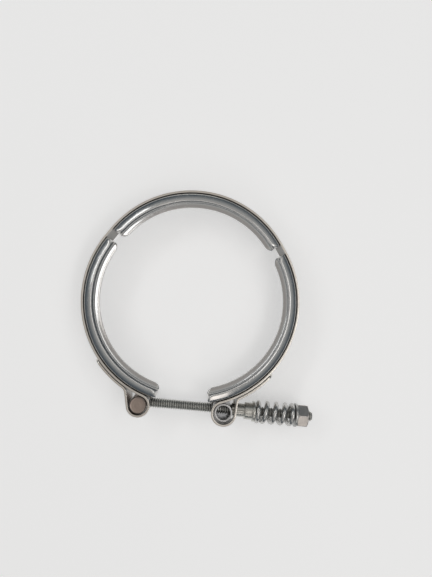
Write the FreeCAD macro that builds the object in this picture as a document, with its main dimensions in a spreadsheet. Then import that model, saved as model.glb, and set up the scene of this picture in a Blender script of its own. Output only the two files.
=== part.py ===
# V-band turbo clamp, millimetres, +Z up.
# The origin is on the axis of the flange joint that the clamp closes around, at the plane that the
# clamp lies on. The crown of the clamp is at +Y, and its bolt crosses the gap at -Y, along X.
import FreeCAD, Part
import math
import os
import re
import Sketcher
from FreeCAD import Placement, Rotation, Vector

os.makedirs("parts", exist_ok=True)
doc = FreeCAD.newDocument("turbo_clamp")

# Driving dimensions, in millimetres, degrees and turns. Angles are measured around the ring, closed.
dimensions = [
    ("lip_radius", 42.7, "inner edge of the lips that draw the flanges together"),
    ("lip_height", 18.0, "from the outside of one lip to the outside of the other"),
    ("groove_depth", 3.85, "from the inner edge of the lips to the outside of the web"),
    ("flank_angle", 20.0, "each flank leans out from square by this much"),
    ("sheet_thickness", 1.3, "V segments"),
    ("bend_radius", 0.9, "inside of the V segments' bends"),
    ("gap_angle", 15.0, "between the free ends of the left and right segments"),
    ("bare_angle", 5.4, "strap left bare between two segments"),
    ("corner_cut", 2.6, "length taken off the lips at each end"),
    ("splay_angle", 4.8, "each arm stands this far open from the closed ring"),
    ("seat_gap", 0.05, "between a segment and the strap around it"),
    ("strap_thickness", 1.0, "outer strap"),
    ("strap_width", 15.0, "outer strap"),
    ("tail_gap", 0.25, "between the strap and its folded-back tails"),
    ("trunnion_angle", 7.1, "from a segment's free end to the trunnion behind it"),
    ("tail_angle", 32.4, "from a trunnion to the free end of the tail"),
    ("left_bend_angle", 12.0, "from the left trunnion to where its tail leaves the ring"),
    ("left_tail_bend", 4.0, "middle radius of the left tail's bend"),
    ("right_bend_angle", 10.6, "from the right trunnion to where its tail leaves the ring"),
    ("right_tail_bend", 2.1, "middle radius of the right tail's bend"),
    ("tail_corner", 3.0, "rounding of the tails' corners"),
    ("weld_diameter", 3.6, "spot welds of the tails"),
    ("weld_angle", 4.5, "from a tail's end to its first spot weld"),
    ("weld_step_angle", 6.5, "between two spot welds"),
    ("left_loop_slack", 0.6, "between the left trunnion and the far side of its loop"),
    ("right_loop_slack", 0.7, "between the right trunnion and the far side of its loop"),
    ("trunnion_play", 0.1, "between a trunnion and the strap that it bears on"),
    ("trunnion_length", 15.6, "barrel and tube"),
    ("barrel_diameter", 7.6, "solid trunnion of the bolt"),
    ("barrel_chamfer", 0.45, "ends of the barrel"),
    ("tube_diameter", 8.2, "hollow trunnion"),
    ("tube_wall", 0.9, "hollow trunnion"),
    ("rod_diameter", 4.83, "over the crests of the thread"),
    ("rod_root", 2.6, "how far the rod reaches into the barrel past its centre"),
    ("rod_overhang", 2.3, "rod beyond the nut"),
    ("rod_chamfer", 0.6, "free end of the rod"),
    ("running_gap", 0.06, "radial, between the rod and the nut"),
    ("sliding_gap", 0.25, "radial, between the rod and what slides along it"),
    ("window_gap", 0.8, "between a loop's window and what passes through it"),
    ("seat_play", 0.12, "between the spring seat and the tube that it presses on"),
    ("neck_diameter", 6.2, "spring seat, at the tube"),
    ("neck_length", 6.0, "spring seat, at the tube"),
    ("collar_diameter", 7.8, "spring seat, middle"),
    ("collar_length", 3.7, "spring seat, middle"),
    ("flange_diameter", 9.4, "spring seat, under the spring"),
    ("flange_thickness", 1.2, "spring seat, under the spring"),
    ("spring_length", 18.8, "as fitted"),
    ("spring_diameter", 10.9, "over the coils"),
    ("wire_diameter", 2.3, "spring"),
    ("spring_turns", 4.75, "with the closed ends"),
    ("closed_turns", 0.5, "part of a turn that lies flat at each end"),
    ("closed_rise", 0.3, "how far a closed end climbs"),
    ("spring_turned", 180.0, "from the crown's side to the spring's first end, around the bolt"),
    ("spring_play", 0.02, "between the spring and what it presses on"),
    ("washer_diameter", 10.9, "under the nut"),
    ("washer_thickness", 1.0, "under the nut"),
    ("nut_flats", 9.53, "across the flats"),
    ("nut_height", 5.0, "along the rod"),
    ("nut_turned", 11.0, "from straight up to a corner of the nut, on the crown's side"),
    ("bevel_angle", 30.0, "slope of the nut's turned corners"),
    ("edge_break", 0.25, "small chamfers"),
]

# What follows from the driving dimensions, as formulas of the same sheet.
# The hinge is the middle of a bare span, and each trunnion turns about it from closed to open.
derived = [
    ("web_radius", "lip_radius + groove_depth"),
    ("web_inside", "web_radius - sheet_thickness"),
    ("mid_height", "lip_height / 2"),
    ("flank_rise", "groove_depth * tan(flank_angle)"),
    ("lip_thickness", "sheet_thickness / cos(flank_angle)"),
    ("inside_rise", "lip_thickness + (groove_depth - sheet_thickness) * tan(flank_angle)"),
    ("segment_angle", "(360 - gap_angle - 2 * bare_angle) / 3"),
    ("half_angle", "segment_angle / 2"),
    ("cut_angle", "half_angle - corner_cut / lip_radius * 180 / pi"),
    ("strap_radius", "web_radius + seat_gap"),
    ("strap_middle", "strap_radius + strap_thickness / 2"),
    ("strap_outside", "strap_radius + strap_thickness"),
    ("tail_middle", "strap_outside + tail_gap + strap_thickness / 2"),
    ("trunnion_radius", "max(barrel_diameter; tube_diameter) / 2"),
    ("trunnion_distance", "strap_outside + trunnion_play + trunnion_radius"),
    ("left_loop_middle", "barrel_diameter / 2 + left_loop_slack + strap_thickness / 2"),
    ("right_loop_middle", "tube_diameter / 2 + right_loop_slack + strap_thickness / 2"),
    ("hinge_from_crown", "half_angle + bare_angle / 2"),
    ("trunnion_from_gap", "gap_angle / 2 + trunnion_angle"),
    ("tail_from_gap", "trunnion_from_gap + tail_angle"),
    ("hinge_x", "strap_middle * sin(hinge_from_crown)"),
    ("hinge_y", "strap_middle * cos(hinge_from_crown)"),
    ("arm_x", "trunnion_distance * sin(trunnion_from_gap) - hinge_x"),
    ("arm_y", "trunnion_distance * cos(trunnion_from_gap) + hinge_y"),
    ("trunnion_x", "hinge_x + arm_x * cos(splay_angle) + arm_y * sin(splay_angle)"),
    ("trunnion_y", "hinge_y + arm_x * sin(splay_angle) - arm_y * cos(splay_angle)"),
    ("seat_start", "trunnion_x + tube_diameter / 2 + seat_play"),
    ("seat_length", "neck_length + collar_length + flange_thickness"),
    ("spring_start", "seat_start + seat_length"),
    ("washer_start", "spring_start + spring_length"),
    ("nut_start", "washer_start + washer_thickness"),
    ("rod_length", "rod_root + trunnion_x + nut_start + nut_height + rod_overhang"),
]


def make_sheet():
    """One row for each dimension: its name, its number or formula, and what it is."""
    table = doc.addObject("Spreadsheet::Sheet", "Dimensions")
    rows = [(alias, str(number), note) for alias, number, note in dimensions]
    rows += [(alias, "=" + formula, "follows from the others") for alias, formula in derived]
    for row, (alias, content, note) in enumerate(rows, start=1):
        table.set(f"A{row}", alias)
        table.set(f"B{row}", content)
        table.set(f"C{row}", note)
        table.setAlias(f"B{row}", alias)
    doc.recompute()
    return table


sheet = make_sheet()
known = {row[0] for row in dimensions + derived}


def size(alias):
    """The value of one dimension."""
    return float(sheet.get(alias))


def on_sheet(formula):
    """The formula with every dimension's name led by the name of its sheet."""
    return re.sub(r"[a-z_]+", lambda word: ("Dimensions." if word[0] in known else "") + word[0], formula)


def polar(radius, degrees):
    """The point of the XY plane at this radius and angle from +X."""
    angle = math.radians(degrees)
    return Vector(radius * math.cos(angle), radius * math.sin(angle), 0)


def turn_about(centre, degrees):
    """The placement that turns about a vertical line through the centre."""
    return Placement(Vector(0, 0, 0), Rotation(Vector(0, 0, 1), degrees), centre)


# Bodies, sketches and features


def new_body(label):
    """An empty body, whose label names its file."""
    body = doc.addObject("PartDesign::Body", label)
    body.Label = label
    return body


def new_sketch(body, name, plane):
    """A sketch on one of the body's own origin planes."""
    sketch = body.newObject("Sketcher::SketchObject", name)
    face = [feature for feature in body.Origin.OriginFeatures if feature.Role == plane][0]
    sketch.AttachmentSupport = [(face, "")]
    sketch.MapMode = "FlatFace"
    return sketch


def hold(sketch, kind, elements, formula):
    """Adds a dimension to the sketch, bound to the formula."""
    value = float(sketch.evalExpression(on_sheet(formula)))
    index = sketch.addConstraint(Sketcher.Constraint(kind, *elements, value))
    sketch.setExpression(f"Constraints[{index}]", on_sheet(formula))


def add_outline(sketch, corners):
    """A closed outline. Each corner is a pair of formulas, held from the sketch's origin."""
    places = [[float(sketch.evalExpression(on_sheet(formula))) for formula in corner] for corner in corners]
    first = sketch.GeometryCount
    count = len(corners)
    for i in range(count):
        start = Vector(*places[i], 0)
        end = Vector(*places[(i + 1) % count], 0)
        sketch.addGeometry(Part.LineSegment(start, end), False)
    for i in range(count):
        following = first + (i + 1) % count
        sketch.addConstraint(Sketcher.Constraint("Coincident", first + i, 2, following, 1))
    for i, (across, up) in enumerate(corners):
        hold(sketch, "DistanceX", (-1, 1, first + i, 1), across)
        hold(sketch, "DistanceY", (-1, 1, first + i, 1), up)


def add_circle(sketch, diameter):
    """A circle about the sketch's origin. Its diameter is a formula."""
    radius = float(sketch.evalExpression(on_sheet(diameter))) / 2
    index = sketch.addGeometry(Part.Circle(Vector(0, 0, 0), Vector(0, 0, 1), radius), False)
    sketch.addConstraint(Sketcher.Constraint("Coincident", index, 3, -1, 1))
    hold(sketch, "Diameter", (index,), diameter)


def pad(body, sketch, length):
    """Extrudes the sketch by a formula, to both sides of its plane alike."""
    feature = body.newObject("PartDesign::Pad", f"{body.Name}_pad")
    feature.Profile = sketch
    feature.SideType = "Symmetric"
    feature.setExpression("Length", on_sheet(length))
    doc.recompute()
    return feature


def pocket(body, sketch, length):
    """Cuts the sketch out of the body by a formula, to both sides of its plane alike."""
    feature = body.newObject("PartDesign::Pocket", f"{body.Name}_pocket")
    feature.Profile = sketch
    feature.SideType = "Symmetric"
    feature.setExpression("Length", on_sheet(length))
    doc.recompute()
    return feature


def revolve(body, sketch, axis, angle):
    """Turns the sketch about one of its axes, to both sides alike."""
    feature = body.newObject("PartDesign::Revolution", f"{body.Name}_revolution")
    feature.Profile = sketch
    feature.ReferenceAxis = (sketch, [axis])
    feature.Midplane = True
    feature.setExpression("Angle", on_sheet(angle))
    doc.recompute()
    return feature


def dress(body, kind, base, edges, formula):
    """A fillet or chamfer of the base's edges with these numbers."""
    feature = body.newObject(f"PartDesign::{kind}", f"{body.Name}_{kind.lower()}")
    feature.Base = (base, [f"Edge{number}" for number in edges])
    feature.setExpression("Radius" if kind == "Fillet" else "Size", on_sheet(formula))
    doc.recompute()
    return feature


def circles_of(feature, radius, centre=None):
    """The numbers of the feature's round edges of this radius, all or about one centre."""
    found = []
    for number, edge in enumerate(feature.Shape.Edges, start=1):
        curve = edge.Curve
        if not isinstance(curve, Part.Circle) or abs(curve.Radius - radius) > 0.001:
            continue
        if centre is None or curve.Center.distanceToPoint(centre) < 0.001:
            found.append(number)
    return found


# V segments


def make_segment(label, crown_angle, arm_splay, hinge):
    """A V-shaped rail, turned about the ring's axis, with bent edges and cut corners."""
    body = new_body(label)
    profile = new_sketch(body, f"{label}_profile", "XZ_Plane")
    add_outline(
        profile,
        [
            ("lip_radius", "0"),
            ("web_radius", "flank_rise"),
            ("web_radius", "lip_height - flank_rise"),
            ("lip_radius", "lip_height"),
            ("lip_radius", "lip_height - lip_thickness"),
            ("web_inside", "lip_height - inside_rise"),
            ("web_inside", "inside_rise"),
            ("lip_radius", "lip_thickness"),
        ],
    )
    rail = revolve(body, profile, "V_Axis", "segment_angle")
    bends = circles_of(rail, size("web_inside"))
    inner = dress(body, "Fillet", rail, bends, "bend_radius")
    bends = circles_of(inner, size("web_radius"))
    outer = dress(body, "Fillet", inner, bends, "bend_radius + sheet_thickness")
    corners = new_sketch(body, f"{label}_corners", "XY_Plane")
    beyond = "(half_angle + 3)"
    for side in ("", "-"):
        add_outline(
            corners,
            [
                ("web_inside * cos(half_angle)", f"{side}web_inside * sin(half_angle)"),
                ("lip_radius * cos(cut_angle)", f"{side}lip_radius * sin(cut_angle)"),
                ("(lip_radius - 1) * cos(cut_angle)", f"{side}(lip_radius - 1) * sin(cut_angle)"),
                (f"(lip_radius - 1) * cos{beyond}", f"{side}(lip_radius - 1) * sin{beyond}"),
                (f"web_inside * cos{beyond}", f"{side}web_inside * sin{beyond}"),
            ],
        )
    pocket(body, corners, "2 * lip_height + 2")
    closed = Placement(Vector(0, 0, 0), Rotation(Vector(0, 0, 1), crown_angle))
    body.Placement = turn_about(hinge, arm_splay) * closed
    return body


# Outer strap


def arm_line(loop, bend_from_trunnion, tail_bend):
    """
    The middle line of the strap's right arm, closed: from the free end of the tail, round the
    loop and back along the ring to the bare span. Each stretch is its start, the middle of its
    arc, and its end. A straight stretch has no middle.
    """
    tail = size("tail_middle")
    ring = size("strap_middle")
    tail_angle = size("tail_from_gap") - 90
    loop_angle = size("trunnion_from_gap") - 90
    bend_angle = loop_angle + bend_from_trunnion
    last_angle = 90 - size("hinge_from_crown") - size("bare_angle") / 2
    bend_centre = polar(tail + tail_bend, bend_angle)
    loop_centre = polar(ring + loop, loop_angle)
    # The straight run passes between the bend and the loop, and touches both.
    across = loop_centre - bend_centre
    lean = math.asin((tail_bend + loop) / across.Length)
    run = math.degrees(math.atan2(across.y, across.x) + lean)
    bend_turn = (run - bend_angle + 90) % 360
    loop_turn = (run - loop_angle - 90) % 360
    bend_start = polar(tail, bend_angle)
    bend_middle = bend_centre + polar(tail_bend, run - 90 - bend_turn / 2)
    bend_end = bend_centre + polar(tail_bend, run - 90)
    loop_start = loop_centre + polar(loop, run + 90)
    loop_middle = loop_centre + polar(loop, run + 90 - loop_turn / 2)
    loop_end = polar(ring, loop_angle)
    return [
        (polar(tail, tail_angle), polar(tail, (tail_angle + bend_angle) / 2), bend_start),
        (bend_start, bend_middle, bend_end),
        (bend_end, None, loop_start),
        (loop_start, loop_middle, loop_end),
        (loop_end, polar(ring, (loop_angle + last_angle) / 2), polar(ring, last_angle)),
    ]


def moved(line, change):
    """The line with each of its points changed."""
    return [tuple(point and change(point) for point in stretch) for stretch in line]


def backwards(line):
    """The line from its end to its start."""
    return [(end, middle, start) for start, middle, end in reversed(line)]


def strap_line():
    """The middle line of the whole strap as it stands, from one tail's end to the other's."""
    splay = size("splay_angle")
    right_hinge = Vector(size("hinge_x"), size("hinge_y"), 0)
    open_arm = turn_about(right_hinge, splay)
    right = arm_line(size("right_loop_middle"), size("right_bend_angle"), size("right_tail_bend"))
    right = moved(right, open_arm.multVec)
    left = arm_line(size("left_loop_middle"), size("left_bend_angle"), size("left_tail_bend"))
    left = moved(moved(left, open_arm.multVec), lambda point: Vector(-point.x, point.y, 0))
    ring = size("strap_middle")
    crown_left = polar(ring, 90 + size("half_angle"))
    crown_right = polar(ring, 90 - size("half_angle"))
    crown = [
        (left[-1][2], None, crown_left),
        (crown_left, polar(ring, 90), crown_right),
        (crown_right, None, right[-1][2]),
    ]
    return left + crown + backwards(right)


def directions(stretch):
    """The directions of a stretch at its start, middle and end."""
    start, middle, end = stretch
    if middle is None:
        along = (end - start).normalize()
        return along, along, along
    edge = Part.Arc(start, middle, end).toShape()
    first, last = edge.ParameterRange
    return tuple(edge.tangentAt(first + share * (last - first)) for share in (0, 0.5, 1))


def beside(line, distance):
    """The edges of a line that runs beside this one, at this distance to its left."""
    headings = [directions(stretch) for stretch in line]
    joints = [headings[0][0]]
    joints += [(before[2] + after[0]).normalize() for before, after in zip(headings[:-1], headings[1:])]
    joints.append(headings[-1][2])

    def shifted(point, heading):
        return point + Vector(-heading.y, heading.x, 0) * distance

    edges = []
    for i, (start, middle, end) in enumerate(line):
        first = shifted(start, joints[i])
        last = shifted(end, joints[i + 1])
        if middle is None:
            edges.append(Part.LineSegment(first, last).toShape())
        else:
            edges.append(Part.Arc(first, shifted(middle, headings[i][1]), last).toShape())
    return edges


def arm_window(side, opening, inner_end, outer_end):
    """A block through a loop, along the bolt, from one distance beyond the trunnion to another."""
    length = outer_end - inner_end
    block = Part.makeBox(length, opening, opening)
    middle = Vector(side * size("trunnion_x"), size("trunnion_y"), size("mid_height"))
    block.translate(middle + Vector(inner_end, -opening / 2, -opening / 2))
    return block


def tail_welds(side):
    """The spot welds that join one tail to the strap under it."""
    hinge = Vector(side * size("hinge_x"), size("hinge_y"), 0)
    first = size("tail_from_gap") - size("weld_angle")
    welds = []
    for from_gap in (first, first - size("weld_step_angle")):
        outward = polar(1, -90 + side * from_gap)
        height = size("tail_middle") - size("strap_middle")
        base = outward * size("strap_middle") + Vector(0, 0, size("mid_height"))
        weld = Part.makeCylinder(size("weld_diameter") / 2, height, base, outward)
        weld.rotate(hinge, Vector(0, 0, 1), side * size("splay_angle"))
        welds.append(weld)
    return welds


def tail_corners(strap):
    """The short edges at the corners of both tails."""
    found = []
    ends = [strap_line()[0][0], strap_line()[-1][2]]
    for edge in strap.Edges:
        across = abs(edge.Length - size("strap_thickness")) < 0.001
        middle = edge.CenterOfMass
        level = abs(edge.Vertexes[0].Z - edge.Vertexes[-1].Z) < 0.001
        at_end = min(middle.distanceToPoint(Vector(end.x, end.y, middle.z)) for end in ends) < 0.01
        if across and level and at_end:
            found.append(edge)
    return found


def make_strap(label):
    """One strip of steel, with both ends folded back through loops and welded to its outside."""
    half = size("strap_thickness") / 2
    line = strap_line()
    outer = beside(line, half)
    inner = beside(line, -half)
    caps = []
    for end in (0, -1):
        corner = outer[end].Vertexes[end].Point
        caps.append(Part.LineSegment(corner, inner[end].Vertexes[end].Point).toShape())
    outline = Part.Wire(Part.__sortEdges__(outer + inner + caps))
    width = size("strap_width")
    strap = Part.Face(outline).extrude(Vector(0, 0, width))
    strap.translate(Vector(0, 0, size("mid_height") - width / 2))
    strap = strap.fuse(tail_welds(-1) + tail_welds(1)).removeSplitter()
    strap = strap.makeFillet(size("tail_corner"), tail_corners(strap))
    rod_window = size("rod_diameter") + 2 * size("window_gap")
    neck_window = size("neck_diameter") + 2 * size("window_gap")
    left_reach = size("left_loop_middle") + size("strap_thickness") + size("left_loop_slack")
    right_reach = size("right_loop_middle") + size("strap_thickness") + size("right_loop_slack")
    start = size("trunnion_radius") / 2
    strap = strap.cut(
        [
            arm_window(-1, rod_window, start, left_reach),
            arm_window(1, rod_window, -right_reach, -start),
            arm_window(1, neck_window, start, right_reach),
        ]
    )
    feature = doc.addObject("Part::Feature", label)
    feature.Label = label
    feature.Shape = strap
    return feature


# Turned pieces. Their profiles are drawn beside the axis that they are turned about.


def on_bolt(along):
    """The placement at this distance along the bolt's axis."""
    return Placement(Vector(along, size("trunnion_y"), size("mid_height")), Rotation())


def cross_hole(body, diameter, towards, away):
    """A round hole along the bolt's axis, from one distance to another."""
    sketch = new_sketch(body, f"{body.Name}_hole", "YZ_Plane")
    add_circle(sketch, diameter)
    feature = body.newObject("PartDesign::Pocket", f"{body.Name}_cross_hole")
    feature.Profile = sketch
    feature.SideType = "Two sides"
    feature.setExpression("Length", on_sheet(away))
    feature.setExpression("Length2", on_sheet(towards))
    doc.recompute()


def make_barrel(label):
    """The solid cross-piece of the T-bolt, with the blind hole that holds the rod."""
    body = new_body(label)
    profile = new_sketch(body, f"{label}_profile", "XZ_Plane")
    edge = "barrel_diameter / 2 - barrel_chamfer"
    end = "trunnion_length / 2"
    add_outline(
        profile,
        [
            ("0", f"-{end}"),
            (edge, f"-{end}"),
            ("barrel_diameter / 2", f"-{end} + barrel_chamfer"),
            ("barrel_diameter / 2", f"{end} - barrel_chamfer"),
            (edge, end),
            ("0", end),
        ],
    )
    revolve(body, profile, "V_Axis", "360")
    cross_hole(body, "rod_diameter", "barrel_diameter", "rod_root")
    body.Placement = on_bolt(-size("trunnion_x"))
    return body


def make_tube(label):
    """The hollow cross-piece of the right loop, with a hole right through it for the rod."""
    body = new_body(label)
    profile = new_sketch(body, f"{label}_profile", "XZ_Plane")
    outside = "tube_diameter / 2"
    inside = "(tube_diameter / 2 - tube_wall)"
    end = "trunnion_length / 2"
    add_outline(
        profile,
        [
            (inside, f"-{end}"),
            (f"{outside} - edge_break", f"-{end}"),
            (outside, f"-{end} + edge_break"),
            (outside, f"{end} - edge_break"),
            (f"{outside} - edge_break", end),
            (inside, end),
        ],
    )
    revolve(body, profile, "V_Axis", "360")
    cross_hole(body, "rod_diameter + 2 * sliding_gap", "tube_diameter", "tube_diameter")
    body.Placement = on_bolt(size("trunnion_x"))
    return body


def make_rod(label):
    """The threaded rod of the T-bolt, over its crests, from inside the barrel to its free end."""
    body = new_body(label)
    profile = new_sketch(body, f"{label}_profile", "XY_Plane")
    add_outline(
        profile,
        [
            ("0", "0"),
            ("rod_length", "0"),
            ("rod_length", "rod_diameter / 2 - rod_chamfer"),
            ("rod_length - rod_chamfer", "rod_diameter / 2"),
            ("0", "rod_diameter / 2"),
        ],
    )
    revolve(body, profile, "H_Axis", "360")
    body.Placement = on_bolt(-size("trunnion_x") - size("rod_root"))
    return body


def make_spring_seat(label):
    """The sleeve between the tube and the spring: a neck, a thicker collar and a flange."""
    body = new_body(label)
    profile = new_sketch(body, f"{label}_profile", "XY_Plane")
    bore = "rod_diameter / 2 + sliding_gap"
    neck = "neck_diameter / 2"
    collar = "collar_diameter / 2"
    flange = "flange_diameter / 2"
    add_outline(
        profile,
        [
            ("0", bore),
            ("0", neck),
            ("neck_length", neck),
            ("neck_length", f"{collar} - edge_break"),
            ("neck_length + edge_break", collar),
            ("neck_length + collar_length", collar),
            ("neck_length + collar_length", f"{flange} - edge_break"),
            ("neck_length + collar_length + edge_break", flange),
            ("seat_length - edge_break", flange),
            ("seat_length", f"{flange} - edge_break"),
            ("seat_length", bore),
        ],
    )
    revolve(body, profile, "H_Axis", "360")
    body.Placement = on_bolt(size("seat_start"))
    return body


def make_washer(label):
    """The washer between the spring and the nut."""
    body = new_body(label)
    profile = new_sketch(body, f"{label}_profile", "XY_Plane")
    edge = "washer_diameter / 2"
    bore = "rod_diameter / 2 + sliding_gap"
    add_outline(
        profile,
        [
            ("0", bore),
            ("0", edge),
            ("washer_thickness - edge_break", edge),
            ("washer_thickness", f"{edge} - edge_break"),
            ("washer_thickness", bore),
        ],
    )
    revolve(body, profile, "H_Axis", "360")
    body.Placement = on_bolt(size("washer_start"))
    return body


def make_nut(label):
    """A hexagon nut, its corners turned off at both ends."""
    body = new_body(label)
    hexagon = new_sketch(body, f"{label}_hexagon", "YZ_Plane")
    side = "nut_flats / 2"
    corner = "nut_flats / sqrt(3)"
    add_outline(
        hexagon,
        [
            ("0", corner),
            (f"-{side}", f"{corner} / 2"),
            (f"-{side}", f"-{corner} / 2"),
            ("0", f"-{corner}"),
            (side, f"-{corner} / 2"),
            (side, f"{corner} / 2"),
        ],
    )
    pad(body, hexagon, "nut_height")
    hole = new_sketch(body, f"{label}_hole", "YZ_Plane")
    add_circle(hole, "rod_diameter + 2 * running_gap")
    bored = pocket(body, hole, "nut_height + 2")
    mouths = circles_of(bored, size("rod_diameter") / 2 + size("running_gap"))
    dress(body, "Chamfer", bored, mouths, "2 * edge_break")
    bevels = new_sketch(body, f"{label}_bevels", "XY_Plane")
    beyond = f"{corner} + 1"
    for sign in ("", "-"):
        add_outline(
            bevels,
            [
                (f"{sign}nut_height / 2", side),
                (f"{sign}(nut_height / 2 + 1)", side),
                (f"{sign}(nut_height / 2 + 1)", beyond),
                (f"{sign}(nut_height / 2 - ({beyond} - {side}) * tan(bevel_angle))", beyond),
            ],
        )
    groove = body.newObject("PartDesign::Groove", f"{label}_groove")
    groove.Profile = bevels
    groove.ReferenceAxis = (bevels, ["H_Axis"])
    groove.Angle = 360
    doc.recompute()
    turned = Rotation(Vector(1, 0, 0), -size("nut_turned"))
    body.Placement = on_bolt(size("nut_start") + size("nut_height") / 2) * Placement(Vector(), turned)
    return body


# Spring

points_per_turn = 16


def make_spring(label):
    """A left-handed compression spring with closed ends."""
    wire = size("wire_diameter") / 2
    radius = size("spring_diameter") / 2 - wire
    turns = size("spring_turns")
    closed = size("closed_turns")
    rise = size("closed_rise")
    length = size("spring_length")
    start = wire + size("spring_play")
    active = (length - 2 * start - 2 * rise) / (turns - 2 * closed)

    def climb(turn):
        """How far along the axis the wire is after this many turns."""
        if turn < closed:
            return start + rise * (turn / closed) ** 2
        if turn > turns - closed:
            return length - climb(turns - turn)
        return start + rise + active * (turn - closed)

    steps = round(turns * points_per_turn)
    points = []
    for step in range(steps + 1):
        turn = turns * step / steps
        angle = math.radians(size("spring_turned")) - 2 * math.pi * turn
        points.append(Vector(climb(turn), radius * math.cos(angle), radius * math.sin(angle)))
    path = Part.BSplineCurve()
    path.interpolate(points)
    spine = Part.Wire(path.toShape())
    section = Part.Wire(Part.Circle(points[0], path.tangent(path.FirstParameter)[0], wire).toShape())
    sweep = Part.BRepOffsetAPI.MakePipeShell(spine)
    sweep.setFrenetMode(True)
    sweep.add(section)
    sweep.build()
    sweep.makeSolid()
    feature = doc.addObject("Part::Feature", label)
    feature.Label = label
    feature.Shape = sweep.shape()
    feature.Placement = on_bolt(size("spring_start"))
    return feature


# The whole clamp

left_hinge = Vector(-size("hinge_x"), size("hinge_y"), 0)
right_hinge = Vector(size("hinge_x"), size("hinge_y"), 0)
segment_step = size("segment_angle") + size("bare_angle")
parts = [
    make_segment("crown_segment", 90, 0, Vector(0, 0, 0)),
    make_segment("left_segment", 90 + segment_step, -size("splay_angle"), left_hinge),
    make_segment("right_segment", 90 - segment_step, size("splay_angle"), right_hinge),
    make_strap("outer_strap"),
    make_barrel("bolt_barrel"),
    make_rod("threaded_rod"),
    make_tube("trunnion_tube"),
    make_spring_seat("spring_seat"),
    make_spring("spring"),
    make_washer("washer"),
    make_nut("hex_nut"),
]

# Checks and files

doc.recompute()
for item in doc.Objects:
    if "Invalid" in item.State or "Error" in item.State:
        raise RuntimeError(f"{item.Label} failed: {item.State}")
for item in parts:
    if item.Shape.isNull() or not item.Shape.isValid() or len(item.Shape.Solids) != 1:
        raise RuntimeError(f"{item.Label} is not one sound solid")
for item in parts:
    item.Shape.exportStep(f"parts/{item.Label}.step")
    box = item.Shape.BoundBox
    print(f"{item.Label}: {item.Shape.Volume:.1f} mm3, z {box.ZMin:.2f} to {box.ZMax:.2f}")
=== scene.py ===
import math

import bmesh
import bpy
import numpy as np
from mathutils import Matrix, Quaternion, Vector


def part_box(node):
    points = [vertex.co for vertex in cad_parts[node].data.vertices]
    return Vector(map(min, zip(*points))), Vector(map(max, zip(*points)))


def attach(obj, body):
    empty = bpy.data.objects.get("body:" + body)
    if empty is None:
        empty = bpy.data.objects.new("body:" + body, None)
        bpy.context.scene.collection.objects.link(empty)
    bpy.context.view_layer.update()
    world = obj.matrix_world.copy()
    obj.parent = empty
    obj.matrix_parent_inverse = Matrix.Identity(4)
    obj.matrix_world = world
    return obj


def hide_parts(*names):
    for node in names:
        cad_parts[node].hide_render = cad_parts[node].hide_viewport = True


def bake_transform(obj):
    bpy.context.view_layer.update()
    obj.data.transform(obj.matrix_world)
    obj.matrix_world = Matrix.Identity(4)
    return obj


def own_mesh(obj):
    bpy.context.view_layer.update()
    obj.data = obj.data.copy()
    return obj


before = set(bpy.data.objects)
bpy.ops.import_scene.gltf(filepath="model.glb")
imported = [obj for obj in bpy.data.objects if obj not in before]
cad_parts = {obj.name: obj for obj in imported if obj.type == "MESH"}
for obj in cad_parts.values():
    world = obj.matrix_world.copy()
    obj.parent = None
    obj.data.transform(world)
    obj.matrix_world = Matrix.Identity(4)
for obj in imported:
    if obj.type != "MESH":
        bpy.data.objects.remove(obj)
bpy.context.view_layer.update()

mm = 0.001
print("frame loaded:", ", ".join(sorted(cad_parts)))

# the lowest and highest corner of each CAD node
boxes = {name: tuple(np.array(corner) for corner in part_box(name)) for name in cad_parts}
tubeCentre = sum(boxes["trunnion_tube"]) / 2

# Sizes that several pieces share, in metres and degrees
clamp = {
    "ringMiddle": 47.1 * mm,     # middle of the strap, from the ring's axis
    "halfHeight": tubeCentre[2], # the bolt's height over the floor
    "segmentAngle": 111.4,       # arc of one V segment
    "bareAngle": 5.4,            # strap left bare between two segments
    "splay": 4.8,                # each arm stands this far open
    "weldReach": 1.45,           # a spot weld's heat reaches this many of its radii
    "weldRim": 0.45,             # and the weld's own rim lies this far inside that
    "trunnionX": tubeCentre[0],  # the barrel stands as far to the other side
    "trunnionY": tubeCentre[1],
}
hingeAngle = math.radians(90 + clamp["segmentAngle"] / 2 + clamp["bareAngle"] / 2)
leftHinge = clamp["ringMiddle"] * np.array([math.cos(hingeAngle), math.sin(hingeAngle)])


def onBolt(x):
    # a point on the bolt's middle line
    return np.array([x, clamp["trunnionY"], clamp["halfHeight"]])


def fasten(piece, body, node):
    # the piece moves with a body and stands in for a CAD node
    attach(piece, body)
    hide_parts(node)
    return piece


# Mesh helpers

def meshObject(name, points, faces, smoothAngle=40, uv=None, fields=None, sharp=True):
    # points (n, 3) and faces (m, 4) arrays become an object whose faces look outwards
    mesh = bpy.data.meshes.new(name)
    mesh.from_pydata(points.tolist(), [], faces.tolist())
    for field, values in (fields or {}).items():
        mesh.attributes.new(field, "FLOAT", "POINT").data.foreach_set("value", values.astype(np.float32))
    if uv is not None:
        layer = mesh.uv_layers.new(name="grain")
        corner = np.zeros(len(mesh.loops), np.int32)
        mesh.loops.foreach_get("vertex_index", corner)
        layer.data.foreach_set("uv", uv[corner].astype(np.float32).ravel())
    work = bmesh.new()
    work.from_mesh(mesh)
    bmesh.ops.remove_doubles(work, verts=work.verts, dist=0.2e-6)
    bmesh.ops.delete(work, geom=[v for v in work.verts if not v.link_faces], context="VERTS")
    bmesh.ops.recalc_face_normals(work, faces=work.faces)
    work.to_mesh(mesh)
    work.free()
    mesh.shade_smooth()
    if sharp:
        mesh.set_sharp_from_angle(angle=math.radians(smoothAngle))
    piece = bpy.data.objects.new(name, mesh)
    bpy.context.scene.collection.objects.link(piece)
    return piece


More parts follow.
